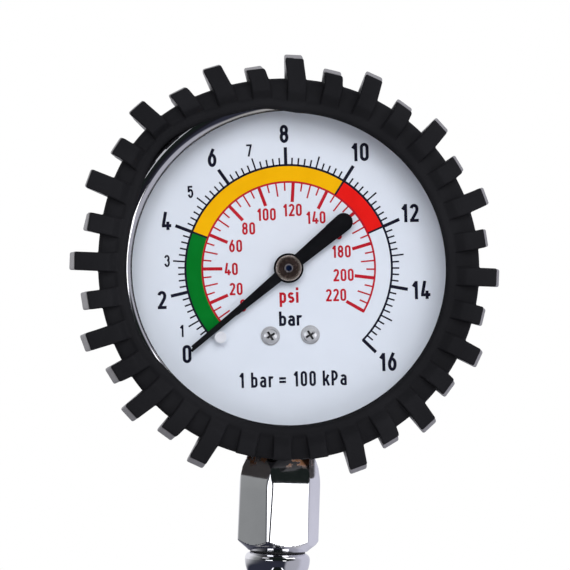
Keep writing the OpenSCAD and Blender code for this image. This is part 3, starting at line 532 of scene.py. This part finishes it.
def glyph(char, w, t):
    """Centre lines of a character in a cell w wide and 1 high, as (points, closed) pairs, and its advance."""
    x0, x1, y0, y1 = t / 2, w - t / 2, t / 2, 1 - t / 2
    cx, rx = w / 2, (w - t) / 2
    ry = rx * 1.12
    xh = 0.72                      # height of the small letters
    lines, advance = [], w + 0.115
    if char == "0":
        lines = [(arc(cx, y1 - ry, rx, ry, 0, 180, 12) + arc(cx, y0 + ry, rx, ry, 180, 360, 12), True)]
    elif char == "1":
        stem = w * 0.62
        lines = [([(stem, 1), (stem, 0)], False),
                 ([(stem - w * 0.36, 1 - t * 1.75), (stem - t * 0.2, 1 - t * 0.62)], False)]
        advance = w * 0.62 + t / 2 + 0.14
    elif char == "2":
        lines = [(arc(cx, y1 - ry, rx, ry, 172, 0, 12)
                  + arc(cx - rx * 0.9, y1 - ry - 0.02, rx * 1.9, 0.34, 0, -38, 6)
                  + [(x0 + t * 0.1, y0 + t * 0.12)], False),
                 ([(x0 - t / 2, y0), (x1 + t / 2, y0)], False)]
    elif char == "3":
        top, low = 0.222, 0.268
        lines = [(arc(cx, y1 - top, rx * 0.94, top, 168, -80, 14), False),
                 (arc(cx, y0 + low, rx, low, 84, -168, 14), False)]
    elif char == "4":
        lines = [([(cx + w * 0.02, 1), (x0 + t * 0.1, 0.235)], False),
                 ([(x0 - t * 0.35, 0.235), (w + t * 0.35, 0.235)], False),
                 ([(w * 0.74, 0.46), (w * 0.74, 0)], False)]
        advance = w + t * 0.3 + 0.1
    elif char == "5":
        low = 0.295
        lines = [([(x1, y1), (x0, y1)], False), ([(x0, 1), (x0, 0.47)], False),
                 (arc(cx, y0 + low, rx, low, 152, -165, 16), False)]
    elif char == "6":
        low = 0.285
        lines = [(arc(cx, y0 + low, rx, low, 0, 360, 22)[:-1], True),
                 ([(cx + w * 0.16, 1), (x0 + w * 0.10, 0.56), (x0 + t * 0.02, 0.38), (x0, y0 + low)], False)]
    elif char == "7":
        lines = [([(x0 - t / 2, y1), (x1 + t / 2, y1)], False), ([(x1, y1), (x0 + w * 0.22, 0)], False)]
    elif char == "8":
        top, low = 0.205, 0.232
        lines = [(arc(cx, y1 - top, rx * 0.92, top, 0, 360, 18)[:-1], True),
                 (arc(cx, y0 + low, rx, low, 0, 360, 18)[:-1], True)]
    elif char in "bp":
        foot, top = (0, 1) if char == "b" else (-0.25, xh)
        lines = [([(x0, foot), (x0, top)], False),
                 (arc(cx, xh - t / 2 - rx, rx, rx, 180, 0, 10) + arc(cx, y0 + rx, rx, rx, 0, -180, 10), True)]
    elif char == "a":
        low = 0.40
        lines = [(arc(cx, xh - t / 2 - rx, rx, rx, 155, 0, 9) + [(x1, 0)], False),
                 ([(x1, low)] + arc(cx, low - 0.165 , rx, 0.165, 90, 270, 9) + [(x1, low - 0.33)], False)]
    elif char == "r":
        lines = [([(x0, 0), (x0, xh)], False),
                 (arc(cx + w * 0.02, xh - t / 2 - rx, rx, rx, 180, 52, 7), False)]
        advance = w * 0.86
    elif char == "s":
        q = (xh - t) / 4
        lines = [(arc(cx, xh - t / 2 - q, rx * 0.95, q, 28, 250, 10)
                  + arc(cx, y0 + q, rx, q, 70, -150, 10), False)]
    elif char == "i":
        lines = [([(x0, 0), (x0, xh)], False), ([(x0, xh + 0.12), (x0, xh + 0.12 + t * 1.1)], False)]
        advance = t + 0.115
    elif char == "k":
        lines = [([(x0, 0), (x0, 1)], False), ([(x1 + t * 0.2, xh), (x0 + t * 0.5, 0.30)], False),
                 ([(x0 + w * 0.36, 0.42), (x1 + t * 0.35, 0)], False)]
    elif char == "P":
        top = 0.27
        lines = [([(x0, 0), (x0, 1)], False),
                 ([(x0, y1)] + arc(x1 - top * 0.8, y1 - top, top * 0.8, top, 90, -90, 10)
                  + [(x0, y1 - 2 * top)], False)]
    elif char == "=":
        lines = [([(0, 0.33), (w * 1.05, 0.33)], False), ([(0, 0.56), (w * 1.05, 0.56)], False)]
        advance = w * 1.05 + 0.115
    elif char == " ":
        advance = w * 0.62
    return lines, advance


def write(ink, text, x, y, height, wide=0.47, weight=0.135, turn=TURN, gap=0.0):
    """Text centred on (x, y), where y is the middle of its capitals."""
    cells, pen = [], 0.0
    for c in text:
        lines, advance = glyph(c, wide, weight)
        cells.append((lines, pen))
        pen += advance + gap
    total = pen - 0.115 - gap
    ca, sa = cos(radians(-turn)), sin(radians(-turn))
    for lines, at in cells:
        for points, closed in lines:
            placed = []
            for px, py in points:
                u, v = (px + at - total / 2) * height, (py - 0.5) * height
                placed.append((x + u * ca - v * sa, y + u * sa + v * ca))
            ink.stroke(placed, weight * height, 0.02, closed)


black, scale_ink = Ink(), Ink()
green, yellow, red = Ink(), Ink(), Ink()
green.band(PSI_R + 0.15, ARC_R - 0.1, ZERO, bar_angle(4))
yellow.band(PSI_R + 0.15, ARC_R - 0.1, bar_angle(4), bar_angle(10))
red.band(PSI_R + 0.15, ARC_R - 0.1, bar_angle(10), bar_angle(12))
black.band(ARC_R - 0.2, ARC_R + 0.29, ZERO - 0.1, bar_angle(LAST_BAR) + 0.6, 0.016)
scale_ink.band(PSI_R - 0.25, PSI_R + 0.2, ZERO + 2.2, psi_angle(LAST_PSI) + 0.8, 0.016)
for bar in (4, 10, 12):
    black.tick(bar_angle(bar), PSI_R + 0.1, ARC_R, 0.45)
# Ticks: every so many steps, how far they reach, and their width. The longest that fits is drawn.
STEPS_PER_BAR = 5
BAR_TICKS = ((10, 27.9, 0.76), (5, 26.7, 0.37), (1, 25.5, 0.37))
PSI_TICKS = ((20, 15.3, 0.76), (10, 16.7, 0.36), (5, 17.9, 0.36))
for step in range(3, LAST_BAR * STEPS_PER_BAR + 1):
    reach, width = next((r, w) for every, r, w in BAR_TICKS if step % every == 0)
    black.tick(bar_angle(step / STEPS_PER_BAR), ARC_R, reach, width)
for psi in range(10, LAST_PSI + 1, 5):
    reach, width = next((r, w) for every, r, w in PSI_TICKS if psi % every == 0)
    scale_ink.tick(psi_angle(psi), PSI_R, reach, width)

# Text, then where its middle is, millimetres right of and above the dial's middle.
EVEN_BARS = (
    ("0", -22.73, -20.55), ("2", -28.92, -8.32), ("4", -28.64, 9.91), ("6", -18.55, 24.78),
    ("8", -2.19, 30.91), ("10", 15.37, 27.35), ("12", 27.37, 13.71), ("14", 30.52, -3.94),
    ("16", 23.5, -20.78))
ODD_BARS = (
    ("1", -24.18, -15.3), ("3", -28.08, 0.7), ("5", -23.23, 16.78), ("7", -10.09, 26.81))
PSI_NUMBERS = (
    ("0", -10.22, -8.93), ("20", -11.97, -5.19), ("40", -13.28, -0.63), ("60", -12.43, 4.71),
    ("80", -9.58, 8.84), ("100", -5.66, 12.21), ("120", 0.29, 13.45), ("140", 5.76, 11.91),
    ("160", 9.69, 8.36), ("180", 11.91, 4.29), ("200", 12.67, -1.1), ("220", 11.11, -5.77))
for text, x, y in EVEN_BARS:
    write(black, text, x, y, 4.194, 0.485, 0.172)
for text, x, y in ODD_BARS:
    write(black, text, x, y, 2.811, 0.46, 0.155)
for text, x, y in PSI_NUMBERS:
    write(scale_ink, text, x, y, 2.857, 0.47, 0.165)
write(scale_ink, "psi", 0.26, -6.26, 3.456, 0.45, 0.17, gap=-0.012)
write(black, "bar", 0.7, -11.55, 3.364, 0.49, 0.18, gap=-0.005)
write(black, "1 bar = 100 kPa", 1.79, -25.46, 3.502, 0.425, 0.158, gap=0.036)

make("print_black", black.verts, black.faces, PRINT["black"])
make("print_scale", scale_ink.verts, scale_ink.faces, PRINT["scale"])
make("band_green", green.verts, green.faces, PRINT["green"])
make("band_yellow", yellow.verts, yellow.faces, PRINT["yellow"])
make("band_red", red.verts, red.faces, PRINT["red"])

# ---------------------------------------------------------------- bezel, lens and boot

LIP_Z = BEZEL_FRONT - 1.2
BEZEL_BACK = 8
OPEN_R = BEZEL_R - 4.1
roll_profile = [(BEZEL_R - 0.8, LIP_Z), (BEZEL_R - 0.8, BEZEL_BACK), (BEZEL_R, BEZEL_BACK)]
mid_r, half_r, roll_h = (BEZEL_R + OPEN_R) / 2, (BEZEL_R - OPEN_R) / 2, 1.7
start = math.asin((LIP_Z - (BEZEL_FRONT - roll_h)) / roll_h)
for k in range(25):
    a = (pi - start) * k / 24
    roll_profile.append((mid_r + half_r * cos(a), BEZEL_FRONT - roll_h + roll_h * sin(a)))
v, f = revolve(roll_profile, 256, on_axis)
bezel = make("bezel", v, f, MAT["chrome_casting"], smooth=40)
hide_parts("bezel_ring")

BACK_R = 30            # radius of the hole in the boot's back
CASE_BACK = -12.06     # where the boot's back wall meets the case
BOOT_IN = BEZEL_R + 0.05
BOOT_R = BOOT_IN + 3.5
LIP_R = OPEN_R - 0.1
BOOT_FRONT = LUG_FRONT - 1.9
LUGS, LUG_W = 32, 4.2
LONG = LUG_TOP - BOOT_R - 2.5
SHORT = LONG - 2.3
DRAFT = 2.5
LUG_BACK = BOOT_BACK + 2
BEND = 0.45            # radius of a lug's edges
FOOT = 0.35            # radius at a lug's foot
FIRST_LUG = 0.3        # degrees clockwise from the top
TRIMMED_LUGS = 1.6     # lugs this many pitches from the bottom are cut back to clear the nut
TRIM = -1.8
# Upper left of the dial the rubber's wall sags outwards and its lip has come off the bezel.
# Each has its reach in mm, then its middle and its spread in degrees clockwise from the top.
SAG, SAG_AT, SAG_SPREAD = 2.3, 311.5, 19
PEEL, PEEL_AT, PEEL_SPREAD = 3.1, 313, 13.5
PEEL_CURL = 1.3        # how far the peeled lip curls back
SLACK = 1.35           # how far the lip stands off all along the left side
SLACK_START, SLACK_END = (222, 246), (346, 362)
LIP_Z0, LIP_Z1 = 14.5, 15.8
SETTLE = -0.3          # how much lower the rubber hangs than the case


def boot_profile(height, draft):
    """Pairs of (ring's point, lug's point) round the boot's section, (r, z) each."""
    tip_b, tip_f = BOOT_R + height + draft, BOOT_R + height
    zl, zf, fr = LUG_BACK, LUG_FRONT, BOOT_FRONT
    # The back, out to the wall.
    pairs = [((BACK_R, CASE_BACK), None), ((BACK_R, BOOT_BACK + 0.3), None), ((BACK_R + 0.3, BOOT_BACK), None),
             ((35, BOOT_BACK), None), ((40, BOOT_BACK), None), ((42.0, BOOT_BACK), None),
             ((42.9, BOOT_BACK + 0.35), None),
             ((BOOT_R, BOOT_BACK + 1.5), None)]
    # The wall and the lugs' tips, from back to front.
    wall = [(BOOT_R, zl), (BOOT_R, zl + 0.05), (BOOT_R, zl + 0.15), (BOOT_R, zl + 0.45)]
    pairs += [(wall[0], (BOOT_R + 0.3, zl)), (wall[1], (tip_b - BEND, zl)),
              (wall[2], (tip_b - 0.13, zl + 0.13)), (wall[3], (tip_b, zl + BEND))]
    for k in range(1, 11):
        t = k / 11
        z = (zl + 0.45) * (1 - t) + (fr - 2.1) * t
        lz = (zl + BEND) * (1 - t) + (zf - BEND) * t
        pairs.append(((BOOT_R, z), (tip_b * (1 - t) + tip_f * t, lz)))
    # The front, in to the lip, then the lip's edge and the inner wall.
    pairs += [((BOOT_R, fr - 2.1), (tip_f, zf - BEND)),
              ((BOOT_R - 0.2, fr - 1.35), (tip_f - 0.13, zf - 0.13)),
              ((BOOT_R - 0.75, fr - 0.8), (tip_f - BEND, zf)), ((BOOT_R - 1.5, fr - 0.6), (BOOT_R - 0.9, zf)),
              ((41.2, fr - 0.6), (41.4, zf)), ((40.6, fr - 0.6), (40.65, zf - 0.02)),
              ((40.2, fr - 0.6), (40.3, zf - 0.15)), ((39.8, fr - 0.58), (39.9, zf - 0.42)),
              ((39.0, fr - 0.55), (39.0, zf - 1.2)), ((38.45, fr - 0.45), (38.4, zf - 1.72)),
              ((38.1, fr - 0.2), (38.05, zf - 1.95)),
              ((37.75, fr - 0.04), None), ((37.3, fr), None), ((36.9, fr - 0.02), None),
              ((36.5, fr - 0.15), None), ((36.15, fr - 0.5), None), ((LIP_R, fr - 1.0), None),
              ((LIP_R, BEZEL_FRONT + 0.1), None), ((LIP_R + 0.1, BEZEL_FRONT + 0.02), None),
              ((38, BEZEL_FRONT + 0.02), None), ((BOOT_IN, BEZEL_FRONT + 0.02), None),
              ((BOOT_IN, BEZEL_BACK), None), ((BOOT_IN, -2), None), ((BOOT_IN, CASE_BACK), None)]
    return [(p, q or p) for p, q in pairs]


def edge_height(full, s):
    """How far a lug's column stands out of the ring, s mm inside its side wall (negative: outside)."""
    bend, foot = min(BEND, full / 2), min(FOOT, full / 2)
    if s <= -FOOT:
        return 0.0
    if s < 0:
        return foot * (1 - sqrt(max(0.0, 1 - (1 + s / FOOT) ** 2)))
    if s < BEND:
        return full - bend * (1 - sqrt(max(0.0, 1 - (1 - s / BEND) ** 2)))
    return full


def boot_shift(x, y, z, r):
    """The rubber's sag and the place where its lip has come off the bezel, upper left of the dial."""
    angle = math.degrees(math.atan2(x, y)) % 360
    wall = SAG * bump(angle, SAG_AT, SAG_SPREAD) * smooth_step(-10, 14, z)
    slack = smooth_step(*SLACK_START, angle) * (1 - smooth_step(*SLACK_END, angle))
    peel = bump(angle, PEEL_AT, PEEL_SPREAD)
    at_lip = smooth_step(LIP_Z0, LIP_Z1, z)
    lip = (SLACK * slack + PEEL * peel) * at_lip
    share = smooth_step(43.4, 37.2, r) if r < 43.4 else 0.0
    move = wall * (1 - share) + lip * share
    drop = SETTLE
    if r <= BOOT_IN + 0.4 and z <= LIP_Z1 + 0.1:      # the inner wall stays on the case
        move = drop = 0.0
    side = smooth_step(BOOT_R - 0.2, BOOT_R + 3, r) * (-0.35 - 0.45 * smooth_step(-13, 19, z))
    k = (r + move) / r
    return x * k + side, y * k + drop, z - PEEL_CURL * peel * share * at_lip


def build_boot():
    """The ring with its lugs, made as columns of points side by side round the gauge's axis."""
    verts = []
    pitch = 360 / LUGS
    # How far inside a lug's side wall its columns of points stand: outside it, in the foot's radius, and
    # inside it, in the edge's.
    at_foot = [-FOOT, -0.22, -0.11, -0.04, 0.0]
    at_edge = [0.0, 0.04, 0.13, 0.28, BEND]
    half = LUG_W / 2
    edge = math.degrees(math.asin((half + FOOT) / BOOT_R))
    trim_from = 180 - pitch * TRIMMED_LUGS
    columns = []
    for i in range(LUGS):
        mid = FIRST_LUG + i * pitch
        trimmed = abs((mid + 180) % 360 - 180) > trim_from
        long_lug = i % 2 == 0
        prof = boot_profile(TRIM, 0.0) if trimmed else boot_profile(LONG if long_lug else SHORT, DRAFT)
        across = [(-half + s, s, False) for s in at_foot] + [(-half + s, s, True) for s in at_edge]
        across += [(u, half, True) for u in (-1.1, -0.55, 0.0, 0.55, 1.1)]
        across += [(half - s, s, True) for s in reversed(at_edge)]
        across += [(half - s, s, False) for s in reversed(at_foot)]
        columns += [(mid, u, s, up, prof, trimmed) for u, s, up in across]
        columns += [(mid + edge + (pitch - 2 * edge) * k / 3, None, 0, False, prof, trimmed) for k in (1, 2)]
    for mid, u, s, up, prof, trimmed in columns:
        c, t = clock(1, mid), clock(1, mid + 90)
        for (rr, rz), (lr, lz) in prof:
            if u is None:
                x, y, z = rr * c[0], rr * c[1], rz
            else:
                full = sqrt((lr - rr) ** 2 + (lz - rz) ** 2)
                at_wall = s == 0 and not up
                height = min(FOOT, full / 2) if at_wall else edge_height(full, s)
                k = height / full if full > 1e-6 else 0.0
                ring_r = sqrt(rr * rr - u * u)
                if trimmed and lr < rr:
                    lr = rr
                rho = ring_r + (lr - ring_r) * k
                z = rz + (lz - rz) * k
                x, y = rho * c[0] + u * t[0], rho * c[1] + u * t[1]
            verts.append(gauge(*boot_shift(x, y, z, math.hypot(x, y))))
    return verts, ring_faces(len(columns), len(columns[0][4]))


v, f = build_boot()
boot = make("rubber_boot", v, f, MAT["boot_rubber"], smooth=50)
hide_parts("gauge_boot")

# Opening in the boot's wall round the stem.
STEM_HOLE_R = 9.3
hole_low, hole_high = NUT_Z + NUT_H - 4, NUT_Z + NUT_H + 12
cut_v, cut_f = revolve([(0.001, hole_low), (STEM_HOLE_R, hole_low), (STEM_HOLE_R, hole_high),
                        (0.001, hole_high)], 96, upright)
cutter = make("cutter", cut_v, cut_f, MAT["boot_rubber"], body=None)
hole = boot.modifiers.new("stem_hole", "BOOLEAN")
hole.operation = "DIFFERENCE"
hole.solver = "EXACT"
hole.object = cutter
apply_modifiers(boot)
bpy.data.objects.remove(cutter)
smooth_by(boot, 50)

# ---------------------------------------------------------------- union nut

NUT_AF, NUT_TURN = 17.0, 14.2
FRONT_CORNER = NUT_TURN - 120      # the corner that shows in front is the most worn
CORNER = NUT_AF / 2 / cos(pi / 6)


def build_nut():
    """A hexagon with rounded corners, a long cone at its top, a short one at its foot, and a bore."""
    def lean(up):
        """How far a flat has fallen back, up millimetres above the place where it starts to."""
        if up <= 0:
            return 0.0
        return 0.06 * up * up if up < 1.4 else 0.168 * up - 0.1176

    def hex_r(angle, cut, z):
        """The hexagon's radius at an angle, its corners cut back by flats."""
        a = (angle - radians(NUT_TURN) + pi / 6) % (pi / 3) - pi / 6
        flat = (NUT_AF / 2 - lean(z - NUT_H + 7.5)) / cos(pi / 6 - abs(a))
        edge = (CORNER - cut) / cos(a)
        blend = max(0.0, 0.15 - abs(flat - edge))
        return min(flat, edge) - blend ** 2 / 0.6
    # Height, and the radius that turning left there.
    foot = [(0.0, 6.9), (0.25, 7.15), (0.6, 7.55), (1.0, 8.05), (1.4, 8.55), (1.8, 9.05), (2.2, 9.55),
            (2.6, 10.1)]
    top = [(7.2, 10.1), (5.0, 10.1), (4.6, 9.75), (4.1, 9.5), (3.6, 9.3), (3.0, 9.0), (2.2, 8.6),
           (1.4, 8.2), (0.6, 7.8), (0.15, 7.55), (0.0, 7.3)]
    levels = foot + [(NUT_H - down, r) for down, r in top]
    steps = 432
    rows = []
    fine = []
    for (z0, r0), (z1, r1) in zip(levels, levels[1:]):
        n = 12 if z1 - z0 > 3 else 3
        fine += [(z0 + (z1 - z0) * k / n, r0 + (r1 - r0) * k / n) for k in range(n)]
    fine.append(levels[-1])
    for z, lim in fine:
        row = []
        for i in range(steps):
            turn = 2 * pi * i / steps
            worn = max(0.0, cos(turn - radians(FRONT_CORNER))) ** 8
            cut = 0.03 + 0.17 * z / NUT_H + worn * (0.15 + 0.2 * z / NUT_H)
            row.append((min(lim, hex_r(turn, cut, z)), z))
        rows.append(row)
    rows.append([(5.95, NUT_H)] * steps)
    rows.append([(5.95, 0.0)] * steps)
    verts = [Vector((r * cos(2 * pi * i / steps) * MM, r * sin(2 * pi * i / steps) * MM, (NUT_Z + z) * MM))
             for row in rows for i, (r, z) in enumerate(row)]
    return verts, ring_faces(len(rows), steps)


v, f = build_nut()
nut = make("union_nut", v, f, MAT["chrome_nut"], smooth=32)
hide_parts("coupling_nut")

# ---------------------------------------------------------------- springs

def coil(name, node, wire_r, turns):
    """A compression spring in its CAD node's place."""
    low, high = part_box(node)
    mid = (low + high) / 2
    length = (high.y - low.y) / MM
    coil_r = (high.x - low.x) / 2 / MM - wire_r
    rise = length - 2 * wire_r
    close = 1 - 2.1 * wire_r * turns / rise          # how much tighter the end turns are wound
    steps, sides = 32 * turns, 12
    verts = []
    for i in range(steps + 1):
        t = i / steps
        along = wire_r + rise * (t - close * sin(2 * pi * t) / (2 * pi))
        turn = 2 * pi * turns * t
        for j in range(sides):
            b = 2 * pi * j / sides
            r = coil_r + wire_r * cos(b)
            verts.append(Vector((mid.x + r * cos(turn) * MM, low.y + (along + wire_r * sin(b)) * MM,
                                 mid.z + r * sin(turn) * MM)))
    faces = ring_faces(steps + 1, sides, closed=False)
    faces += [tuple(range(sides)), tuple(steps * sides + j for j in range(sides))]
    piece = make(name, verts, faces, MAT["spring_steel"], smooth=50)
    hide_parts(node)
    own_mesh(piece)


coil("inflate_spring", "valve_spring", 0.35, 5)
coil("release_spring", "bleed_spring", 0.3, 4)

# ---------------------------------------------------------------- stage

def floor():
    rings, steps = (0.0001, 0.5, 1.0, 1.4), 96
    drop = -0.0005
    v = [Vector((r * cos(2 * pi * i / steps), r * sin(2 * pi * i / steps), drop))
         for r in rings for i in range(steps)]
    f = ring_faces(len(rings), steps, closed=False)
    m = paint("floor_pale", (0.80, 0.80, 0.81), (0.84, 0.84, 0.85), 0.6, 300)
    obj = make("floor", v, f, m, body=None)
    obj.visible_glossy = False


floor()

def studio_world():
    """White to the camera; to the metal, a room with dark and pale patches in set directions."""
    world = bpy.data.worlds.new("studio")
    bpy.context.scene.world = world
    world.use_nodes = True
    tree = world.node_tree
    tree.nodes.clear()

    def part(axis, a, b):
        """0 where a direction's coordinate is a, 1 where it is b."""
        node = tree.nodes.new("ShaderNodeMapRange")
        node.interpolation_type = "SMOOTHSTEP"
        node.inputs["From Min"].default_value = a
        node.inputs["From Max"].default_value = b
        tree.links.new(coordinate(tree, axis, "Generated"), node.inputs["Value"])
        return node.outputs["Result"]

    def background(color):
        node = tree.nodes.new("ShaderNodeBackground")
        feed(tree, color, node.inputs["Color"])
        return node.outputs["Background"]

    depth = spread(tree, coordinate(tree, "Y", "Generated"), 0.0, 1.0, -1.0, 1.0)
    room = ramp(tree, depth, [
        (0.0, (0.012, 0.012, 0.016)), (0.12, (0.016, 0.017, 0.022)), (0.3, (0.10, 0.10, 0.11)),
        (0.5, (0.30, 0.31, 0.31)), (0.8, (0.92, 0.92, 0.96))])
    room = mix_color(tree, part("Z", 0.0, -0.3), room, (0.03, 0.032, 0.05, 1))
    pale_right = multiply(tree, part("X", 0.34, 0.5), part("Y", -0.92, -0.78))
    room = mix_color(tree, pale_right, room, (0.44, 0.44, 0.50, 1))
    dark_high_front = multiply(tree, part("Z", 0.1, 0.2), part("Y", -0.3, -0.6))
    room = mix_color(tree, dark_high_front, room, (0.010, 0.014, 0.013, 1))
    pale_behind = multiply(tree, part("Y", -0.25, 0.2), part("X", -0.5, 0.5))
    room = mix_color(tree, pale_behind, room, (0.60, 0.60, 0.70, 1))
    room = mix_color(tree, part("Z", -0.7, -0.9), room, (0.42, 0.41, 0.40, 1))
    path = tree.nodes.new("ShaderNodeLightPath")
    mix = tree.nodes.new("ShaderNodeMixShader")
    out = tree.nodes.new("ShaderNodeOutputWorld")
    tree.links.new(path.outputs["Is Camera Ray"], mix.inputs["Fac"])
    tree.links.new(background(room), mix.inputs[1])
    tree.links.new(background((1, 1, 1, 1)), mix.inputs[2])
    tree.links.new(mix.outputs["Shader"], out.inputs["Surface"])


studio_world()


def softbox(name, azimuth, elevation, distance, width, height, power, color=(1, 1, 1)):
    """An area light that looks at the gauge. Azimuth 0 is in front of the dial, positive to the right."""
    light = bpy.data.lights.new(name, "AREA")
    light.shape = "RECTANGLE"
    light.size, light.size_y = width, height
    light.energy = power
    light.color = color
    obj = bpy.data.objects.new(name, light)
    bpy.context.scene.collection.objects.link(obj)
    a, e = radians(azimuth), radians(elevation)
    aim = Vector((0, 0, GAUGE_Z * MM))
    back = Vector((sin(a) * cos(e), -cos(a) * cos(e), sin(e)))
    obj.location = aim + back * distance
    obj.rotation_mode = "QUATERNION"
    obj.rotation_quaternion = (-back).to_track_quat("-Z", "Y")
    obj.visible_camera = False
    return obj


# Azimuth and elevation in degrees, distance, width and height in metres, power in watts.
softbox("key_right", 31, -1, 1.5, 0.66, 0.40, 1.7)
softbox("key_left", -31, -1, 1.5, 0.66, 0.40, 1.7, (0.94, 0.96, 1.0))
softbox("high_right", 55, 44, 1.3, 0.75, 0.6, 2.3)
softbox("high_left", -50, 32, 1.3, 0.5, 0.46, 0.42, (0.95, 0.95, 1.0))
fill = softbox("fill", 3.5, 22, 1.4, 1.2, 0.8, 16.3)
fill.visible_glossy = False


def camera():
    """In front of the dial, which it sees a little from the left and leaning clockwise."""
    distance = 1.0
    azimuth, roll = radians(-1.5), radians(2.0)
    view_width = 131.336                   # mm across the picture at the dial
    dial_right, dial_up = 0.772, 3.882     # mm from the picture's middle to the dial's
    data = bpy.data.cameras.new("camera")
    obj = bpy.data.objects.new("camera", data)
    bpy.context.scene.collection.objects.link(obj)
    data.sensor_width = 36.0
    data.lens = data.sensor_width * distance / (view_width * MM)
    data.clip_start, data.clip_end = 0.05, 20
    back = Vector((sin(azimuth), -cos(azimuth), 0))
    level = Vector((cos(azimuth), sin(azimuth), 0))
    upward = back.cross(level)
    right = level * cos(roll) + upward * sin(roll)
    up = upward * cos(roll) - level * sin(roll)
    target = gauge(0, 0, DIAL_Z) - right * dial_right * MM - up * dial_up * MM
    obj.matrix_world = Matrix((
        (right.x, up.x, back.x, 0), (right.y, up.y, back.y, 0), (right.z, up.z, back.z, 0), (0, 0, 0, 1)))
    obj.location = target + back * distance
    bpy.context.scene.camera = obj


camera()
bpy.context.scene.view_settings.view_transform = "Standard"
